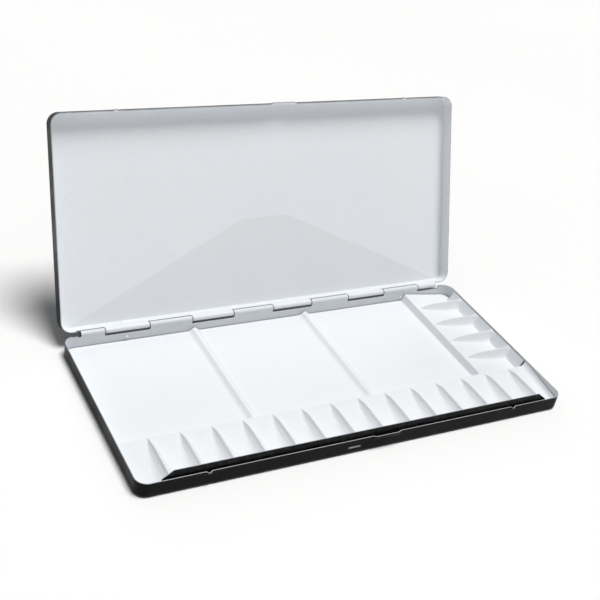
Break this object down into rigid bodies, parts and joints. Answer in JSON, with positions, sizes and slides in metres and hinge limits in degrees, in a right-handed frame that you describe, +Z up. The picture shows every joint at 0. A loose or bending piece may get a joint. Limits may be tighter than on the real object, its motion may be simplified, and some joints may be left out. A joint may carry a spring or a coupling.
{
  "type": "folding watercolour palette box",
  "caption": "Flat folding metal palette box: black outside, white inside, with mixing areas, a row and a column of paint wells, and a hinged lid.",
  "frame": {"origin": "centre of the base's flat underside", "axes": "+X along the length, to the right when the open box is used; +Y towards the hinge; +Z up"},
  "size_m": [0.245, 0.1643, 0.1155],
  "materials": {
    "black_enamel": "satin stoved enamel on sheet steel",
    "white_enamel": "semi-gloss stoved enamel on sheet steel",
    "steel_wire": "drawn bright wire"
  },
  "bodies": {
    "base": {"base_shell": "black_enamel", "well_tray": "white_enamel", "hinge_wire": "steel_wire"},
    "lid": {"lid_shell": "black_enamel"}
  },
  "joints": [
    {"name": "lid_hinge", "type": "hinge", "parent": "base", "child": "lid", "pos_m": [0, 0.05765, 0.00845], "axis": [-1, 0, 0], "range_deg": [-111.5, 68.5]}
  ]
}
